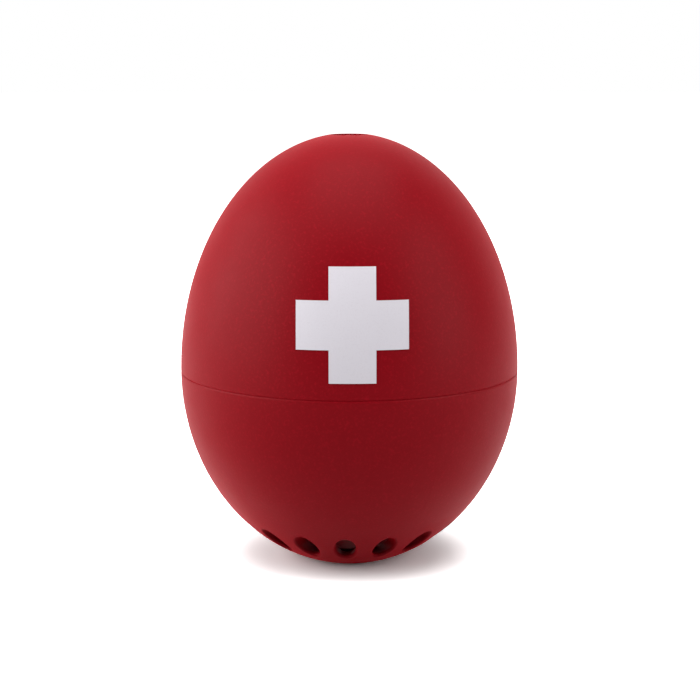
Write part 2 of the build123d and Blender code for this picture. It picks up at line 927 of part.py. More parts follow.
with BuildPart(level(board_bottom)) as quartz_crystal:
    with Locations(crystal_place):
        with Locations((0, 0, -crystal_radius)):
            Cylinder(crystal_radius, crystal_length, rotation=(90, 0, 0))
    for side in (-1, 1):
        lead_x = side * crystal_radius / 2
        can_end = crystal_length / 2
        corners = [
            in_capsule((lead_x, can_end - crystal_lead_radius, board_bottom - crystal_radius), crystal_place),
            in_capsule((lead_x, can_end + crystal_lead_reach, board_bottom - crystal_radius), crystal_place),
            in_capsule((lead_x, can_end + crystal_lead_reach, board_bottom), crystal_place),
        ]
        with BuildLine() as crystal_lead:
            FilletPolyline(*corners, radius=crystal_radius / 2)
        with BuildSketch(Plane(origin=corners[0], z_dir=corners[1] - corners[0])):
            Circle(crystal_lead_radius)
        sweep(path=crystal_lead.wires()[0])

finish(quartz_crystal, "quartz_crystal")

# ---- Parts round the edge of the board's top ----

standing = (Align.CENTER, Align.CENTER, Align.MIN)


def chip_places(angles):
    """Places for chips round the edge of the board, each lying along the edge."""
    return [round_place(angle, post_circle) * Location((0, 0, 0), (0, 0, 90)) for angle in angles]


def chip_bodies(size, angles):
    """Middles of surface-mounted chips, in the current part."""
    length, width, height = size
    with Locations(*chip_places(angles)):
        Box(length * (1 - 2 * terminal_share), width, height, align=standing)


def chip_ends(size, angles):
    """Soldered ends of surface-mounted chips, in the current part."""
    length, width, height = size
    reach = length * (1 - terminal_share)
    with Locations(*chip_places(angles)):
        with GridLocations(reach, 0, 2, 1):
            Box(length * terminal_share, width, height, align=standing)


with BuildPart(level(board_top)) as chip_resistors:
    chip_bodies(resistor_size, resistor_angles)

finish(chip_resistors, "chip_resistors")

with BuildPart(level(board_top)) as chip_capacitors:
    chip_bodies(capacitor_size, capacitor_angles)

finish(chip_capacitors, "chip_capacitors")

with BuildPart(level(board_top)) as chip_terminals:
    chip_ends(resistor_size, resistor_angles)
    chip_ends(capacitor_size, capacitor_angles)

finish(chip_terminals, "chip_terminals")

body_length, body_width, body_height = transistor_size
leg_width, leg_reach, leg_sheet = transistor_leg_size

with BuildPart(level(board_top)) as drive_transistor:
    with Locations(*chip_places([transistor_angle])):
        with Locations((0, 0, leg_sheet)):
            Box(body_length, body_width, body_height - leg_sheet, align=standing)

finish(drive_transistor, "drive_transistor")

with BuildPart(level(board_top)) as transistor_legs:
    with Locations(*chip_places([transistor_angle])):
        with Locations((-transistor_leg_spacing, -body_width / 2), (transistor_leg_spacing, -body_width / 2)):
            Box(leg_width, 2 * leg_reach, leg_sheet, align=standing)
        with Locations((0, body_width / 2)):
            Box(leg_width, 2 * leg_reach, leg_sheet, align=standing)

finish(transistor_legs, "transistor_legs")

# ---- Solder: joints on the board round the sensor's legs and the leads, and dabs on the sounder ----

with BuildPart(level(board_top)) as solder_joints:
    with Locations(*sensor_leg_places()):
        Cone(leg_spacing / 2 - winding_gap, leg_via_radius + potting_gap, solder_height, align=standing)
        Cylinder(leg_radius + potting_gap, solder_height, align=standing, mode=Mode.SUBTRACT)
    with Locations(*lead_places()):
        Cone(solder_radius, solder_tip_radius, solder_height, align=standing)
        Cylinder(solder_pin_radius, board_thickness, align=(Align.CENTER, Align.CENTER, Align.MAX))
    for angle, radius, dab_top in lead_starts:
        with Locations(round_place(angle, radius)):
            with Locations((0, 0, dab_top - board_top)):
                Cylinder(dab_radius, dab_height, align=(Align.CENTER, Align.CENTER, Align.MAX))

finish(solder_joints, "solder_joints")
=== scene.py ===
"""Singing egg timer: a two-part plastic egg with a printed cross and a ring of water holes by its foot.

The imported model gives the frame. This script dresses its pieces, models the one that needs a finer surface,
and lights them on a plain pale floor. Lengths are metres, and one in millimetres is written ``n * MM``.
Patterns and the floor's glow are in plain millimetres, because the node trees turn coordinates into them.
"""
from __future__ import annotations

import json
import logging
import math
from dataclasses import dataclass, field
from enum import Enum

import bpy
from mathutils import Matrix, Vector

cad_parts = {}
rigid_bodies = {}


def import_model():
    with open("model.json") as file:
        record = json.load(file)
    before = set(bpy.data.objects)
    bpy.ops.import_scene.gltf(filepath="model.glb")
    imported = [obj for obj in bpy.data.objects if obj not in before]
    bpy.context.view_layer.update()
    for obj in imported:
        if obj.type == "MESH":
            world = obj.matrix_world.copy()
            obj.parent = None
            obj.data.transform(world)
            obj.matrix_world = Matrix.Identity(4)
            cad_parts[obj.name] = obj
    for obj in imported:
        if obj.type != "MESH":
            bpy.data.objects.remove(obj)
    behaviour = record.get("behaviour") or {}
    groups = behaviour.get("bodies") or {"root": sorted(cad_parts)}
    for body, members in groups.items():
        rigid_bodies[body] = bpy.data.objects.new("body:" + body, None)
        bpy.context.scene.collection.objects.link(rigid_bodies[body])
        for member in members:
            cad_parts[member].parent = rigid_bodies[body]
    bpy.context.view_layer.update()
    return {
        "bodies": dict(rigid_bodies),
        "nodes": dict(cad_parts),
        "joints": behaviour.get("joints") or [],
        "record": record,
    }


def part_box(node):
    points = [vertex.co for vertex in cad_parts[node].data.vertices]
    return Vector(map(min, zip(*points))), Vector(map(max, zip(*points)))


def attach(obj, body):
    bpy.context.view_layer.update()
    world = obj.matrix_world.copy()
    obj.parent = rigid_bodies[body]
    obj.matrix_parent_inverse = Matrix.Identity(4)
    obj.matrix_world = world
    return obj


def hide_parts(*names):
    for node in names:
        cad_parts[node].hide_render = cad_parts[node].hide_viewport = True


logging.basicConfig(level=logging.INFO, format="%(message)s")
log = logging.getLogger("egg_timer")

MM = 0.001
PER_METRE_TO_PER_MM = 1000.0
WHITE = (1.0, 1.0, 1.0)
EVENLY = (1.0, 1.0, 1.0)
DUST = (0.62, 0.58, 0.54)
TARNISH_ROUGHNESS = 0.2

Colour = tuple[float, float, float]
Triple = tuple[float, float, float]
Point = tuple[float, float]


# ----------------------------------------------------------------------------------------------------
# Node trees
# ----------------------------------------------------------------------------------------------------


class Tree:
    """One node tree, with short calls that add nodes to it and wire them."""

    def __init__(self, tree: bpy.types.NodeTree) -> None:
        """Empties a tree, ready for new nodes.

        Args:
            tree: The node tree of a material, a world or a node group.
        """
        self.tree = tree
        self.tree.nodes.clear()

    def set(self, socket: bpy.types.NodeSocket, value: object) -> None:
        """Links an input to another node's output, or gives it a plain value.

        Args:
            socket: The input.
            value: An output socket, a number, or a colour or vector as a tuple.
        """
        if isinstance(value, bpy.types.NodeSocket):
            self.tree.links.new(value, socket)
        elif socket.type == "RGBA":
            socket.default_value = (*value, 1.0)
        else:
            socket.default_value = value

    def add(
        self, kind: str, inputs: dict[str | int, object] | None = None, **settings: object
    ) -> bpy.types.Node:
        """Adds a node.

        Args:
            kind: The node's type, such as ShaderNodeMath.
            inputs: Values or output sockets for its inputs, by the inputs' names or places.
            **settings: Values for the node's own properties, such as operation.

        Returns:
            The new node.
        """
        node = self.tree.nodes.new(kind)
        for name, value in settings.items():
            setattr(node, name, value)
        for name, value in (inputs or {}).items():
            self.set(node.inputs[name], value)
        return node

    def math(self, operation: str, first: object, second: object = 0.0) -> bpy.types.NodeSocket:
        """Adds a Math node and returns its result."""
        return self.add("ShaderNodeMath", {0: first, 1: second}, operation=operation).outputs[0]

    def spread(
        self, value: object, low: float, high: float, to_low: float = 0.0, to_high: float = 1.0
    ) -> bpy.types.NodeSocket:
        """Maps a value from one range to another, clamped at both ends, and returns the result."""
        inputs = {0: value, 1: low, 2: high, 3: to_low, 4: to_high}
        return self.add("ShaderNodeMapRange", inputs, interpolation_type="SMOOTHSTEP").outputs[0]

    def blend(self, share: object, first: object, second: object) -> bpy.types.NodeSocket:
        """Mixes two colours.

        Args:
            share: How much of the second colour there is, from 0 to 1.
            first: The first colour.
            second: The second colour.

        Returns:
            The mixed colour.
        """
        node = self.add("ShaderNodeMix", data_type="RGBA")
        for place, value in ((0, share), (6, first), (7, second)):
            self.set(node.inputs[place], value)
        return node.outputs[2]

    def place(self, scale: Triple = EVENLY) -> bpy.types.NodeSocket:
        """Gives the surface's own coordinates.

        Args:
            scale: How often a pattern repeats along X, Y and Z, compared with an even one.

        Returns:
            The coordinates in millimetres, times the scale.
        """
        coordinates = self.add("ShaderNodeTexCoord").outputs["Object"]
        steps = tuple(PER_METRE_TO_PER_MM * axis for axis in scale)
        return self.add("ShaderNodeMapping", {"Vector": coordinates, "Scale": steps}).outputs[0]

    def noise(self, where: bpy.types.NodeSocket, scale: object, detail: float = 3.0) -> bpy.types.NodeSocket:
        """Returns a noise from 0 to 1 with a number of waves in each millimetre."""
        inputs = {"Vector": where, "Scale": scale, "Detail": detail}
        return self.add("ShaderNodeTexNoise", inputs).outputs[0]


class Socket(Enum):
    """Kinds of socket that the node groups have."""

    NUMBER = "NodeSocketFloat"
    COLOUR = "NodeSocketColor"
    VECTOR = "NodeSocketVector"


@dataclass(frozen=True)
class Group:
    """A node group with named inputs and outputs, built once and then placed in many materials."""

    name: str
    inputs: dict[str, Socket]
    outputs: dict[str, Socket]

    def new_tree(self) -> tuple[Tree, bpy.types.Node, bpy.types.Node]:
        """Makes the group's empty tree with its sockets.

        Returns:
            The tree, its Group Input node and its Group Output node.
        """
        data = bpy.data.node_groups.new(self.name, "ShaderNodeTree")
        for name, kind in self.inputs.items():
            data.interface.new_socket(name=name, in_out="INPUT", socket_type=kind.value)
        for name, kind in self.outputs.items():
            data.interface.new_socket(name=name, in_out="OUTPUT", socket_type=kind.value)
        tree = Tree(data)
        return tree, tree.add("NodeGroupInput"), tree.add("NodeGroupOutput")


class Effects:
    """The surface effects that several finishes share."""

    def __init__(self) -> None:
        """Builds each group."""
        self.grain = self._mould_grain()
        self.marks = self._drawn_marks()
        self.dust = self._settled_dust()

    @staticmethod
    def place(tree: Tree, group: bpy.types.NodeTree, inputs: dict[str, object]) -> bpy.types.Node:
        """Places a group in a material.

        Args:
            tree: The material's tree.
            group: The group.
            inputs: Values or output sockets for the group's inputs.

        Returns:
            The group's node.
        """
        node = tree.add("ShaderNodeGroup", node_tree=group)
        for name, value in inputs.items():
            tree.set(node.inputs[name], value)
        return node

    @staticmethod
    def _mould_grain() -> bpy.types.NodeTree:
        """Makes the fine grain that a spark-eroded mould leaves, with a paler fleck on some of its tops.

        Returns:
            The group.
        """
        number = Socket.NUMBER
        group = Group(
            "mould_grain",
            {"Colour": Socket.COLOUR, "Fleck Colour": Socket.COLOUR, "Grain": number, "Flecks": number,
             "Roughness": number, "Unevenness": number},
            {"Colour": Socket.COLOUR, "Roughness": number, "Height": number},
        )
        tree, given, result = group.new_tree()
        where = tree.place()
        fine = tree.noise(where, scale=given.outputs["Grain"], detail=4.0)
        cloud = tree.noise(where, scale=0.16, detail=2.0)
        tops = tree.spread(fine, low=0.50, high=0.72)
        flecks = tree.math("MULTIPLY", tops, given.outputs["Flecks"])
        colour = tree.blend(flecks, given.outputs["Colour"], given.outputs["Fleck Colour"])
        patch = tree.math("MULTIPLY", tree.math("SUBTRACT", cloud, 0.5), given.outputs["Unevenness"])
        tree.set(result.inputs["Colour"], colour)
        tree.set(result.inputs["Roughness"], tree.math("ADD", given.outputs["Roughness"], patch))
        tree.set(result.inputs["Height"], fine)
        return result.id_data

    @staticmethod
    def _drawn_marks() -> bpy.types.NodeTree:
        """Makes the fine lines that rolling, drawing or turning leaves on metal, and a little tarnish.

        Returns:
            The group.
        """
        number = Socket.NUMBER
        group = Group(
            "drawn_marks",
            {"Where": Socket.VECTOR, "Colour": Socket.COLOUR, "Tarnish": Socket.COLOUR, "Lines": number,
             "Tarnish Amount": number, "Roughness": number, "Unevenness": number},
            {"Colour": Socket.COLOUR, "Roughness": number, "Height": number},
        )
        tree, given, result = group.new_tree()
        lines = tree.noise(given.outputs["Where"], scale=given.outputs["Lines"], detail=2.0)
        cloud = tree.noise(tree.place(), scale=0.5, detail=4.0)
        cover = tree.spread(cloud, low=0.42, high=0.68)
        share = tree.math("MULTIPLY", cover, given.outputs["Tarnish Amount"])
        colour = tree.blend(share, given.outputs["Colour"], given.outputs["Tarnish"])
        streak = tree.math("MULTIPLY", tree.math("SUBTRACT", lines, 0.5), given.outputs["Unevenness"])
        lined = tree.math("ADD", given.outputs["Roughness"], streak)
        rough = tree.math("ADD", lined, tree.math("MULTIPLY", share, TARNISH_ROUGHNESS))
        tree.set(result.inputs["Colour"], colour)
        tree.set(result.inputs["Roughness"], rough)
        tree.set(result.inputs["Height"], lines)
        return result.id_data

    @staticmethod
    def _settled_dust() -> bpy.types.NodeTree:
        """Makes a faint film on the surfaces that face up, broken into patches.

        Returns:
            The group.
        """
        number = Socket.NUMBER
        group = Group("settled_dust", {"Colour": Socket.COLOUR, "Amount": number}, {"Colour": Socket.COLOUR})
        tree, given, result = group.new_tree()
        normal = tree.add("ShaderNodeNewGeometry").outputs["Normal"]
        up = tree.add("ShaderNodeSeparateXYZ", {0: normal}).outputs["Z"]
        specks = tree.noise(tree.place(), scale=0.9, detail=6.0)
        patches = tree.spread(specks, low=0.45, high=0.75, to_low=0.2)
        cover = tree.math("MULTIPLY", tree.spread(up, low=0.2, high=1.0), patches)
        share = tree.math("MULTIPLY", cover, given.outputs["Amount"])
        tree.set(result.inputs["Colour"], tree.blend(share, given.outputs["Colour"], DUST))
        return result.id_data


# ----------------------------------------------------------------------------------------------------
# Finishes
# ----------------------------------------------------------------------------------------------------


def shade(name: str) -> tuple[Tree, bpy.types.Node, bpy.types.Material]:
    """Makes a material with a Principled shader on its output.

    Args:
        name: The finish's name.

    Returns:
        The material's tree, its shader and the material.
    """
    material = bpy.data.materials.new(name)
    material.use_nodes = True
    tree = Tree(material.node_tree)
    shader = tree.add("ShaderNodeBsdfPrincipled")
    tree.add("ShaderNodeOutputMaterial", {"Surface": shader.outputs[0]})
    return tree, shader, material


def emboss(tree: Tree, shader: bpy.types.Node, height: bpy.types.NodeSocket, depth: float) -> None:
    """Turns a height into relief on a shader.

    Args:
        tree: The material's tree.
        shader: Its Principled shader.
        height: The relief, from 0 to 1.
        depth: How deep the relief is, in metres.
    """
    bump = tree.add("ShaderNodeBump", {"Strength": 1.0, "Distance": depth, "Height": height})
    tree.set(shader.inputs["Normal"], bump.outputs[0])


@dataclass(frozen=True)
class Moulded:
    """Moulded, dipped or printed plastic and rubber, with the grain of its mould."""

    colour: Colour
    fleck: Colour
    flecks: float = 0.25
    grain: float = 4.0
    depth: float = 0.004 * MM
    roughness: float = 0.45
    unevenness: float = 0.15
    specular: float = 0.5
    sheen: float = 0.0
    sheen_tint: Colour = WHITE
    sheen_roughness: float = 0.5
    coat: float = 0.0
    coat_roughness: float = 0.2
    through: float = 0.0
    dust: float = 0.0

    def build(self, name: str, effects: Effects) -> bpy.types.Material:
        """Makes the material.

        Args:
            name: The finish's name.
            effects: The shared effects.

        Returns:
            The new material.
        """
        tree, shader, material = shade(name)
        surface = Effects.place(tree, effects.grain, {
            "Colour": self.colour, "Fleck Colour": self.fleck, "Grain": self.grain, "Flecks": self.flecks,
            "Roughness": self.roughness, "Unevenness": self.unevenness,
        })
        colour = surface.outputs["Colour"]
        if self.dust:
            film = Effects.place(tree, effects.dust, {"Colour": colour, "Amount": self.dust})
            colour = film.outputs["Colour"]
        tree.set(shader.inputs["Base Color"], colour)
        tree.set(shader.inputs["Roughness"], surface.outputs["Roughness"])
        for socket, value in (
            ("Specular IOR Level", self.specular),
            ("Sheen Weight", self.sheen),
            ("Sheen Tint", self.sheen_tint),
            ("Sheen Roughness", self.sheen_roughness),
            ("Coat Weight", self.coat),
            ("Coat Roughness", self.coat_roughness),
            ("Subsurface Weight", self.through),
            ("Subsurface Scale", 1.0 * MM),
        ):
            tree.set(shader.inputs[socket], value)
        emboss(tree, shader, surface.outputs["Height"], self.depth)
        return material


class Marks(Enum):
    """Which way the fine lines on a metal run, as how often they repeat along X, Y and Z."""

    ROLLED = (0.06, 1.0, 1.0)
    DRAWN = (1.0, 1.0, 0.05)
    PLATED = (1.0, 1.0, 1.0)


@dataclass(frozen=True)
class Metal:
    """Bare or plated metal."""

    colour: Colour
    tarnish: Colour
    tarnished: float = 0.25
    marks: Marks = Marks.PLATED
    lines: float = 9.0
    depth: float = 0.001 * MM
    roughness: float = 0.28
    unevenness: float = 0.2
    turned: bool = False

    def build(self, name: str, effects: Effects) -> bpy.types.Material:
        """Makes the material.

        Args:
            name: The finish's name.
            effects: The shared effects.

        Returns:
            The new material.
        """
        tree, shader, material = shade(name)
        where = tree.place(self.marks.value)
        if self.turned:
            parts = tree.add("ShaderNodeSeparateXYZ", {0: tree.place()})
            flat = tree.add("ShaderNodeCombineXYZ", {0: parts.outputs[0], 1: parts.outputs[1]}).outputs[0]
            radius = tree.add("ShaderNodeVectorMath", {0: flat}, operation="LENGTH").outputs["Value"]
            where = tree.add("ShaderNodeCombineXYZ", {0: radius, 2: parts.outputs[2]}).outputs[0]
        surface = Effects.place(tree, effects.marks, {
            "Where": where, "Colour": self.colour, "Tarnish": self.tarnish, "Lines": self.lines,
            "Tarnish Amount": self.tarnished, "Roughness": self.roughness, "Unevenness": self.unevenness,
        })
        tree.set(shader.inputs["Base Color"], surface.outputs["Colour"])
        tree.set(shader.inputs["Roughness"], surface.outputs["Roughness"])
        tree.set(shader.inputs["Metallic"], 1.0)
        emboss(tree, shader, surface.outputs["Height"], self.depth)
        return material


@dataclass(frozen=True)
class Winding:
    """Enamelled wire wound in close turns about an upright bobbin, with painted shade in the grooves between
    the turns.
    """

    wire: Colour = (0.62, 0.20, 0.07)
    groove_shade_and_tarnish: Colour = (0.16, 0.04, 0.015)
    pitch: float = 0.16
    depth: float = 0.03 * MM
    roughness: float = 0.25

    def build(self, name: str, effects: Effects) -> bpy.types.Material:
        """Makes the material.

        Args:
            name: The finish's name.
            effects: The shared effects.

        Returns:
            The new material.
        """
        tree, shader, material = shade(name)
        height = tree.add("ShaderNodeSeparateXYZ", {0: tree.place()}).outputs["Z"]
        phase = tree.math("MULTIPLY", height, math.tau / self.pitch)
        # turns is 1 on each turn's crest and 0 in the groove between turns; it gives the relief and also the
        # mask for the painted shade.
        turns = tree.spread(tree.math("SINE", phase), low=-1.0, high=1.0)
        # The dark groove colour also serves as the wire's tarnish, in random patches.
        surface = Effects.place(tree, effects.marks, {
            "Where": tree.place(), "Colour": self.wire, "Tarnish": self.groove_shade_and_tarnish, "Lines": 6.0,
            "Tarnish Amount": 0.2, "Roughness": self.roughness, "Unevenness": 0.15,
        })
        # Painted shade: the grooves between the turns are blended to the dark groove colour.
        tree.set(shader.inputs["Base Color"], tree.blend(turns, self.groove_shade_and_tarnish, surface.outputs["Colour"]))
        tree.set(shader.inputs["Roughness"], surface.outputs["Roughness"])
        tree.set(shader.inputs["Metallic"], 0.8)
        tree.set(shader.inputs["Coat Weight"], 0.6)
        emboss(tree, shader, turns, self.depth)
        return material


@dataclass(frozen=True)
class Circuit:
    """Glass-fibre board under solder resist, with its copper tracks showing through paler and raised."""

    resist: Colour = (0.012, 0.115, 0.045)
    over_copper: Colour = (0.035, 0.24, 0.085)
    edge: Colour = (0.42, 0.40, 0.22)
    pitch: float = 1.27
    block: float = 0.21
    depth: float = 0.02 * MM

    def build(self, name: str, effects: Effects) -> bpy.types.Material:
        """Makes the material.

        Args:
            name: The finish's name.
            effects: The shared effects.

        Returns:
            The new material.
        """
        tree, shader, material = shade(name)
        where = tree.place()
        parts = tree.add("ShaderNodeSeparateXYZ", {0: where})
        rows = [self._lines(tree, parts.outputs[axis]) for axis in (0, 1)]
        blocks = tree.add("ShaderNodeTexChecker", {"Vector": where, "Scale": self.block}).outputs["Fac"]
        picked = tree.add("ShaderNodeMix", {0: blocks, 2: rows[0], 3: rows[1]}).outputs[0]
        broken = tree.spread(tree.noise(where, scale=0.35, detail=0.0), low=0.42, high=0.47)
        tracks = tree.math("MULTIPLY", picked, broken)
        face = tree.blend(tracks, self.resist, self.over_copper)
        normal = tree.add("ShaderNodeNewGeometry").outputs["Normal"]
        up = tree.math("ABSOLUTE", tree.add("ShaderNodeSeparateXYZ", {0: normal}).outputs["Z"])
        grained = Effects.place(tree, effects.grain, {
            "Colour": tree.blend(tree.spread(up, low=0.4, high=0.6), self.edge, face),
            "Fleck Colour": self.over_copper, "Grain": 5.0, "Flecks": 0.08,
            "Roughness": 0.28, "Unevenness": 0.1,
        })
        tree.set(shader.inputs["Base Color"], grained.outputs["Colour"])
        tree.set(shader.inputs["Roughness"], grained.outputs["Roughness"])
        tree.set(shader.inputs["Coat Weight"], 0.3)
        emboss(tree, shader, tracks, self.depth)
        return material

    def _lines(self, tree: Tree, along: bpy.types.NodeSocket) -> bpy.types.NodeSocket:
        """Returns 1 on evenly spaced tracks across an axis, and 0 between them."""
        wave = tree.math("SINE", tree.math("MULTIPLY", along, math.tau / self.pitch))
        return tree.spread(wave, low=0.55, high=0.7)


RED = (0.20, 0.0006, 0.0045)
RED_FLECK = (0.30, 0.003, 0.010)

FINISHES: dict[str, Moulded | Metal | Winding | Circuit] = {
    "red_soft_plastic": Moulded(
        RED, RED_FLECK, flecks=0.55, grain=3.2, depth=0.012 * MM, roughness=0.46, unevenness=0.12,
        specular=0.08, sheen=0.5, sheen_tint=(1.0, 0.02, 0.035), sheen_roughness=0.5,
    ),
    "white_ink": Moulded(
        (0.66, 0.63, 0.68), (0.58, 0.54, 0.59), flecks=0.3, grain=5.0, depth=0.003 * MM, roughness=0.5,
        specular=0.35,
    ),
    "capsule_plastic": Moulded(
        (0.72, 0.70, 0.64), (0.80, 0.78, 0.73), grain=3.0, depth=0.006 * MM, roughness=0.42, through=0.15,
        dust=0.05,
    ),
    "silicone": Moulded(
        (0.42, 0.44, 0.45), (0.52, 0.54, 0.55), grain=6.0, depth=0.002 * MM, roughness=0.38, through=0.25,
        sheen=0.1,
    ),
    "stainless_screw": Metal((0.60, 0.59, 0.57), (0.34, 0.33, 0.31), marks=Marks.DRAWN, roughness=0.26),
    "board_green": Circuit(),
    "black_epoxy": Moulded(
        (0.012, 0.012, 0.013), (0.03, 0.03, 0.03), grain=2.0, depth=0.01 * MM, roughness=0.24, unevenness=0.1,
        coat=0.5,
    ),
    "ferrite": Moulded(
        (0.045, 0.045, 0.05), (0.11, 0.11, 0.12), flecks=0.5, grain=9.0, depth=0.01 * MM, roughness=0.55,
    ),
    "copper_wire": Winding(),
    "tinned_metal": Metal((0.66, 0.66, 0.65), (0.42, 0.41, 0.40), roughness=0.3),
    "solder": Metal((0.56, 0.56, 0.55), (0.34, 0.34, 0.33), tarnished=0.4, lines=5.0, roughness=0.22),
    "chip_black": Moulded((0.02, 0.02, 0.024), (0.07, 0.07, 0.08), grain=8.0, roughness=0.3, coat=0.4),
    "chip_tan": Moulded((0.36, 0.24, 0.14), (0.47, 0.34, 0.22), grain=8.0, roughness=0.5),
    "transistor_black": Moulded((0.016, 0.016, 0.018), (0.05, 0.05, 0.05), grain=9.0, roughness=0.42),
    "cell_steel": Metal(
        (0.66, 0.66, 0.65), (0.44, 0.43, 0.41), tarnished=0.15, lines=6.0, roughness=0.24, turned=True,
    ),
    "cell_ring": Moulded((0.20, 0.21, 0.23), (0.28, 0.29, 0.31), grain=6.0, roughness=0.45),
    "manganese_pellet": Moulded(
        (0.02, 0.02, 0.02), (0.07, 0.07, 0.07), flecks=0.6, grain=10.0, depth=0.02 * MM, roughness=0.75,
    ),
    "lithium": Metal(
        (0.56, 0.56, 0.58), (0.30, 0.30, 0.33), tarnished=0.5, marks=Marks.ROLLED, roughness=0.4,
    ),
    "spring_steel": Metal((0.63, 0.62, 0.58), (0.40, 0.38, 0.34), marks=Marks.ROLLED, roughness=0.25),
    "sounder_brass": Metal(
        (0.72, 0.50, 0.19), (0.42, 0.26, 0.09), tarnished=0.35, lines=5.0, roughness=0.27, turned=True,
    ),
    "sounder_ceramic": Moulded(
        (0.70, 0.69, 0.65), (0.80, 0.79, 0.76), grain=7.0, depth=0.004 * MM, roughness=0.4,
    ),
    "lead_red": Moulded((0.50, 0.012, 0.014), (0.58, 0.05, 0.05), grain=6.0, roughness=0.3),
    "lead_black": Moulded((0.016, 0.016, 0.017), (0.05, 0.05, 0.05), grain=6.0, roughness=0.3),
    "bead_epoxy": Moulded((0.014, 0.014, 0.015), (0.04, 0.04, 0.04), grain=4.0, roughness=0.2, coat=0.6),
    "potting": Moulded((0.55, 0.55, 0.53), (0.66, 0.66, 0.64), grain=5.0, depth=0.01 * MM, roughness=0.55),
}


class Wardrobe:
    """Builds each finish once and dresses pieces in it."""

    def __init__(self) -> None:
        """Builds every finish."""
        effects = Effects()
        self.made = {slot: finish.build(slot + "_finish", effects) for slot, finish in FINISHES.items()}

    def dress(self, piece: bpy.types.Object, slot: str) -> None:
        """Puts a piece's every material slot in one finish.

        Args:
            piece: A CAD node's object or a new piece.
            slot: The record's material slot.
        """
        if not piece.material_slots:
            piece.data.materials.append(None)
        for place in piece.material_slots:
            place.link = "OBJECT"
            place.material = self.made[slot]


# ----------------------------------------------------------------------------------------------------
# Studio
# ----------------------------------------------------------------------------------------------------


@dataclass(frozen=True)
class Softbox:
    """One soft lamp, aimed at the middle of the egg."""

    name: str
    azimuth: float
    elevation: float
    distance: float
    width: float
    height: float
    watts: float

    def light(self, target: Vector) -> None:
        """Adds the lamp to the scene.

        Args:
            target: The point that it faces.
        """
        turn, rise = math.radians(self.azimuth), math.radians(self.elevation)
        out = Vector((math.sin(turn) * math.cos(rise), -math.cos(turn) * math.cos(rise), math.sin(rise)))
        data = bpy.data.lights.new(self.name, "AREA")
        data.shape, data.size, data.size_y = "RECTANGLE", self.width, self.height
        data.energy = self.watts
        lamp = bpy.data.objects.new(self.name, data)
        lamp.location = target + out * self.distance
        lamp.rotation_euler = (-out).to_track_quat("-Z", "Y").to_euler()
        bpy.context.scene.collection.objects.link(lamp)


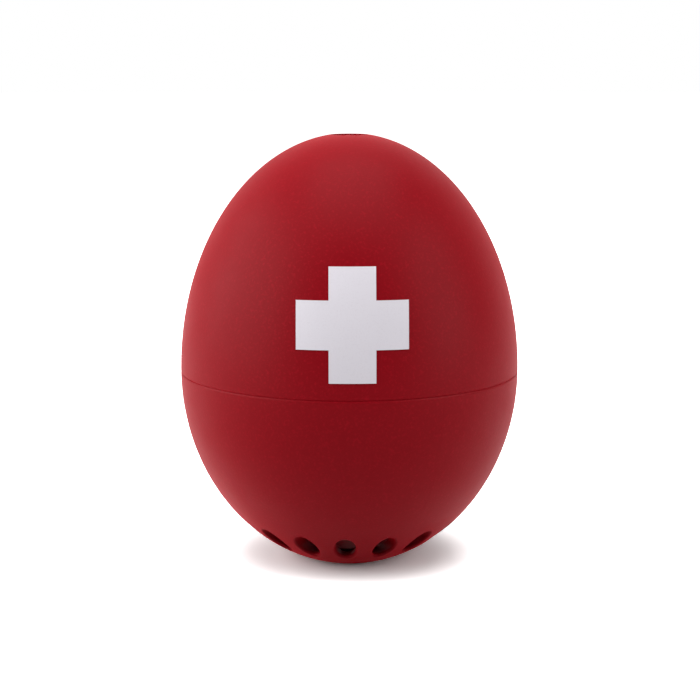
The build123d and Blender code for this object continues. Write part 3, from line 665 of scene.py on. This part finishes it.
@dataclass
class Studio:
    """Pale floor, white surroundings, soft lamps and the camera."""

    camera_distance: float = 237 * MM
    camera_elevation: float = 10.0
    aim: Triple = (0.085 * MM, 0.0, 29.5 * MM)
    lens: float = 86.14
    sensor_width: float = 36.0
    nearest_seen: float = 10 * MM
    floor_radius: float = 3.0
    floor_facets: int = 96
    floor_albedo: float = 0.45
    floor_seen: float = 1.25
    glow_start: float = 10.0
    glow_end: float = 24.0
    ambient: float = 0.04
    softboxes: tuple[Softbox, ...] = field(default_factory=lambda: (
        Softbox(
            "left_softbox", azimuth=-80.0, elevation=14.0, distance=0.75, width=1.0, height=1.0, watts=12.0,
        ),
        Softbox(
            "right_softbox", azimuth=70.0, elevation=22.0, distance=0.85, width=0.6, height=0.8, watts=5.0,
        ),
        Softbox(
            "top_softbox", azimuth=0.0, elevation=84.0, distance=0.9, width=0.9, height=0.9, watts=8.0,
        ),
    ))

    def build(self) -> None:
        """Sets the whole studio up."""
        bpy.context.scene.view_settings.view_transform = "Standard"
        self._camera()
        self._floor()
        self._surroundings()
        for softbox in self.softboxes:
            softbox.light(Vector(self.aim))

    def _camera(self) -> None:
        """Adds the camera, in front of the egg and a little above it."""
        rise = math.radians(self.camera_elevation)
        out = Vector((0.0, -math.cos(rise), math.sin(rise)))
        data = bpy.data.cameras.new("camera")
        data.lens, data.sensor_width, data.clip_start = self.lens, self.sensor_width, self.nearest_seen
        camera = bpy.data.objects.new("camera", data)
        camera.location = Vector(self.aim) + out * self.camera_distance
        camera.rotation_euler = (-out).to_track_quat("-Z", "Y").to_euler()
        bpy.context.scene.collection.objects.link(camera)
        bpy.context.scene.camera = camera

    def _seen_ray(self, tree: Tree) -> bpy.types.NodeSocket:
        """Picks out the rays that show the background.

        Args:
            tree: The material's tree.

        Returns:
            1 for rays from the camera, in gloss and through glass, and 0 for the rest.
        """
        path = tree.add("ShaderNodeLightPath")
        sharp = tree.math("MAXIMUM", path.outputs["Is Glossy Ray"], path.outputs["Is Transmission Ray"])
        return tree.math("MAXIMUM", path.outputs["Is Camera Ray"], sharp)

    def _floor(self) -> None:
        """Adds a round pale floor, which turns to white a little way out from the egg."""
        bpy.ops.object.select_all(action="DESELECT")
        bpy.ops.mesh.primitive_circle_add(
            vertices=self.floor_facets, radius=self.floor_radius, fill_type="NGON"
        )
        floor = bpy.context.object
        floor.name = "floor"
        material = bpy.data.materials.new("floor_finish")
        material.use_nodes = True
        tree = Tree(material.node_tree)
        camera_ray = tree.add("ShaderNodeLightPath").outputs["Is Camera Ray"]
        albedo = tree.spread(
            camera_ray, low=0.0, high=1.0, to_low=self.floor_albedo, to_high=self.floor_seen
        )
        matt = tree.add("ShaderNodeBsdfDiffuse", {"Color": albedo})
        distance = tree.add("ShaderNodeVectorMath", {0: tree.place()}, operation="LENGTH").outputs["Value"]
        away = tree.spread(distance, low=self.glow_start, high=self.glow_end)
        glow = tree.add("ShaderNodeEmission", {"Strength": tree.math("MULTIPLY", away, self._seen_ray(tree))})
        both = tree.add("ShaderNodeAddShader", {0: matt.outputs[0], 1: glow.outputs[0]})
        tree.add("ShaderNodeOutputMaterial", {"Surface": both.outputs[0]})
        floor.data.materials.append(material)

    def _surroundings(self) -> None:
        """Makes the world: white behind the egg, dark in front of it, and an even dim light all round."""
        world = bpy.data.worlds.new("surroundings")
        bpy.context.scene.world = world
        world.use_nodes = True
        tree = Tree(world.node_tree)
        path = tree.add("ShaderNodeLightPath")
        direction = tree.add("ShaderNodeTexCoord").outputs["Generated"]
        behind = tree.add("ShaderNodeSeparateXYZ", {0: direction}).outputs["Y"]
        backdrop = tree.spread(behind, low=0.05, high=0.6)
        seen = tree.math("MAXIMUM", path.outputs["Is Camera Ray"], path.outputs["Is Transmission Ray"])
        glossy = tree.math("MULTIPLY", path.outputs["Is Glossy Ray"], backdrop)
        shown = tree.math("MAXIMUM", seen, glossy)
        dim = tree.math("MULTIPLY", path.outputs["Is Diffuse Ray"], self.ambient)
        sky = tree.add("ShaderNodeBackground", {"Color": WHITE, "Strength": tree.math("MAXIMUM", shown, dim)})
        tree.add("ShaderNodeOutputWorld", {"Surface": sky.outputs[0]})


# ----------------------------------------------------------------------------------------------------
# Pieces
# ----------------------------------------------------------------------------------------------------

def ellipse(
    radius: float, rise: float, centre: float, highest: float, lowest: float, steps: int
) -> list[Point]:
    """Gives points down the side of an egg's half, as distances from the axis and heights.

    Args:
        radius: Half its width, at the level of its centre.
        rise: How far it rises above that level.
        centre: The height of that level.
        highest: The share of the rise at which the points start.
        lowest: The share at which they end.
        steps: How many spaces lie between the points.

    Returns:
        The points, evenly spaced in angle.
    """
    first, last = math.asin(highest), math.asin(lowest)
    angles = [first + (last - first) * step / steps for step in range(steps + 1)]
    return [(radius * math.cos(angle), centre + rise * math.sin(angle)) for angle in angles]


def drawn_outline(name: str, outline: list[Point]) -> bpy.types.Object:
    """Draws an outline in the upright plane of X and Z, by extruding one vertex from point to point.

    Args:
        name: The new object's name.
        outline: Distances from the axis, and heights.

    Returns:
        The object, in edit mode with all of it selected.
    """
    bpy.ops.object.select_all(action="DESELECT")
    bpy.ops.mesh.primitive_plane_add(size=MM, location=(outline[0][0], 0.0, outline[0][1]))
    piece = bpy.context.object
    piece.name = piece.data.name = name
    bpy.ops.object.transform_apply(location=True)
    bpy.ops.object.mode_set(mode="EDIT")
    bpy.ops.mesh.merge(type="CENTER")
    for (radius, height), (next_radius, next_height) in zip(outline, outline[1:]):
        step = (next_radius - radius, 0.0, next_height - height)
        bpy.ops.mesh.extrude_vertices_move(TRANSFORM_OT_translate={"value": step})
    bpy.ops.mesh.select_all(action="SELECT")
    return piece


def spun(name: str, outline: list[Point], steps: int) -> bpy.types.Object:
    """Turns an outline about the egg's axis into a closed piece.

    Args:
        name: The piece's name.
        outline: Distances from the axis, and heights, from the axis round to the axis.
        steps: How many facets it has round the axis.

    Returns:
        The piece.
    """
    piece = drawn_outline(name, outline)
    bpy.ops.mesh.spin(steps=steps, angle=math.tau, center=(0.0, 0.0, 0.0), axis=(0.0, 0.0, 1.0))
    bpy.ops.mesh.select_all(action="SELECT")
    bpy.ops.mesh.remove_doubles(threshold=0.0005 * MM)
    bpy.ops.mesh.normals_make_consistent(inside=False)
    bpy.ops.object.mode_set(mode="OBJECT")
    return piece


def upright_plate(name: str, outline: list[Point], thickness: float, turn: float) -> bpy.types.Object:
    """Makes an upright plate that stands out from the egg's axis.

    Args:
        name: The plate's name.
        outline: Its corners, as distances from the axis and heights.
        thickness: How thick it is.
        turn: The angle about the axis at which it stands, in radians.

    Returns:
        The plate.
    """
    plate = drawn_outline(name, outline)
    bpy.ops.mesh.edge_face_add()
    bpy.ops.transform.translate(value=(0.0, -thickness / 2, 0.0))
    bpy.ops.mesh.extrude_region_move(TRANSFORM_OT_translate={"value": (0.0, thickness, 0.0)})
    bpy.ops.mesh.select_all(action="SELECT")
    bpy.ops.mesh.normals_make_consistent(inside=False)
    bpy.ops.object.mode_set(mode="OBJECT")
    plate.rotation_euler = (0.0, 0.0, turn)
    bpy.ops.object.transform_apply(rotation=True)
    return plate


def weld(piece: bpy.types.Object, extra: bpy.types.Object) -> None:
    """Joins a second solid to a piece as one closed skin, and removes it.

    Args:
        piece: The piece that stays.
        extra: The solid that becomes part of it.
    """
    bpy.ops.object.select_all(action="DESELECT")
    bpy.context.view_layer.objects.active = piece
    piece.select_set(True)
    union = piece.modifiers.new("weld", "BOOLEAN")
    union.operation, union.solver, union.object = "UNION", "EXACT", extra
    bpy.ops.object.modifier_apply(modifier=union.name)
    bpy.data.objects.remove(extra, do_unlink=True)


def smooth(piece: bpy.types.Object, crease: float = 35.0) -> None:
    """Shades a piece smooth, apart from its sharp edges.

    Args:
        piece: The piece.
        crease: The angle above which an edge is sharp, in degrees.
    """
    bpy.ops.object.select_all(action="DESELECT")
    bpy.context.view_layer.objects.active = piece
    piece.select_set(True)
    bpy.ops.object.shade_smooth_by_angle(angle=math.radians(crease))


@dataclass
class UpperShell:
    """The egg's top half: a thin dome with a moulding gate's dish at its crown and four fins inside."""

    crown: float = 33 * MM
    wall: float = 1.8 * MM
    chamfer: float = 0.12 * MM
    rebate_depth: float = 0.95 * MM
    rebate_height: float = 2.7 * MM
    dish_radius: float = 2.5 * MM
    dish_depth: float = 0.45 * MM
    dish_rim: float = 0.15 * MM
    rim_steps: int = 5
    stub_radius: float = 0.45 * MM
    stub_height: float = 0.15 * MM
    fin_count: int = 4
    fin_turn: float = 9.05
    fin_thickness: float = 1.2 * MM
    fin_reach: float = 16.2 * MM
    fin_bottom: float = 1.9 * MM
    fin_top: float = 13 * MM
    fin_gap: float = 0.4 * MM
    fin_steps: int = 16
    facets: int = 192
    outer_steps: int = 96
    inner_steps: int = 56

    def __post_init__(self) -> None:
        """Reads the dome's width and the seam's height from the frame."""
        low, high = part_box("upper_shell")
        self.radius, self.seam = high[0], low[2]

    def _outside(self) -> list[Point]:
        """Draws the outside, from the stub in the dish down to the seam.

        Returns:
            Its points.
        """
        floor = self.seam + self.crown - self.dish_depth
        rim_radius = self.dish_radius + self.dish_rim
        share = math.sqrt(1 - (rim_radius / self.radius) ** 2)
        rim_middle = self.seam + self.crown * share - self.dish_rim
        rim = [
            (rim_radius - self.dish_rim * math.cos(turn), rim_middle + self.dish_rim * math.sin(turn))
            for turn in (math.pi / 2 * step / self.rim_steps for step in range(self.rim_steps))
        ]
        lowest = self.chamfer / self.crown
        side = ellipse(self.radius, self.crown, self.seam, share, lowest, self.outer_steps)
        stub = [(0.0, floor + self.stub_height), (self.stub_radius, floor + self.stub_height)]
        dish = [(self.stub_radius, floor), (self.dish_radius, floor)]
        return stub + dish + rim + side + [(self.radius - self.chamfer, self.seam)]

    def _inside(self) -> list[Point]:
        """Draws the seam's face, the rebate for the lower shell's lip, and the inside up to the axis.

        Returns:
            Its points.
        """
        rebate_radius = self.radius - self.rebate_depth
        rebate_top = self.seam + self.rebate_height
        inner_rise = self.crown - self.wall
        lowest = self.rebate_height / inner_rise
        side = ellipse(self.radius - self.wall, inner_rise, self.seam, 1.0, lowest, self.inner_steps)
        side[0] = (0.0, side[0][1])  # exactly on the axis
        return [(rebate_radius, self.seam), (rebate_radius, rebate_top)] + side[::-1]

    def _fin(self) -> list[Point]:
        """Draws a fin, whose outer edge lies in the middle of the wall.

        Returns:
            Its points.
        """
        bottom = self.seam + self.fin_bottom
        rebate_top = self.seam + self.rebate_height
        lip_side = self.radius - self.wall - self.fin_gap
        rise = self.crown - self.wall / 2
        highest, lowest = self.fin_top / rise, self.rebate_height / rise
        middle = ellipse(self.radius - self.wall / 2, rise, self.seam, highest, lowest, self.fin_steps)
        corners = [(self.fin_reach, bottom), (lip_side, bottom), (lip_side, rebate_top)]
        return corners + middle[::-1] + [(self.fin_reach, self.seam + self.fin_top)]

    def build(self) -> bpy.types.Object:
        """Models the shell.

        Returns:
            The shell, which stands in for the frame's own.
        """
        shell = spun("upper_shell_modelled", self._outside() + self._inside(), self.facets)
        for fin in range(self.fin_count):
            turn = math.radians(self.fin_turn + fin * 360 / self.fin_count)
            weld(shell, upright_plate("fin", self._fin(), self.fin_thickness, turn))
        smooth(shell)
        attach(shell, "upper_shell")
        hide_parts("upper_shell")
        return shell


class EggTimer:
    """The whole timer: the CAD pieces in their finishes, and the upper shell modelled anew."""

    def __init__(self, frame: dict, wardrobe: Wardrobe) -> None:
        """Keeps what the pieces are made from.

        Args:
            wardrobe: The finishes.
        """
        self.frame = frame
        self.wardrobe = wardrobe

    def dress_nodes(self) -> None:
        """Dresses every CAD node in the finish of the slot that the record gives it."""
        for subpart in self.frame["record"]["subparts"]:
            node, slot = subpart["node"], subpart["material_slot"]
            self.wardrobe.dress(self.frame["nodes"][node], slot)
            log.info("%-18s dressed in %s", node, slot)

    def model(self) -> None:
        """Models the upper shell, which needs a finer surface than the frame's."""
        shell = UpperShell().build()
        self.wardrobe.dress(shell, "red_soft_plastic")
        log.info("%-18s modelled with %d faces", shell.name, len(shell.data.polygons))


def main() -> None:
    """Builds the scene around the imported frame."""
    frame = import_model()
    Studio().build()
    timer = EggTimer(frame, Wardrobe())
    timer.dress_nodes()
    timer.model()


if __name__ == "__main__":
    main()
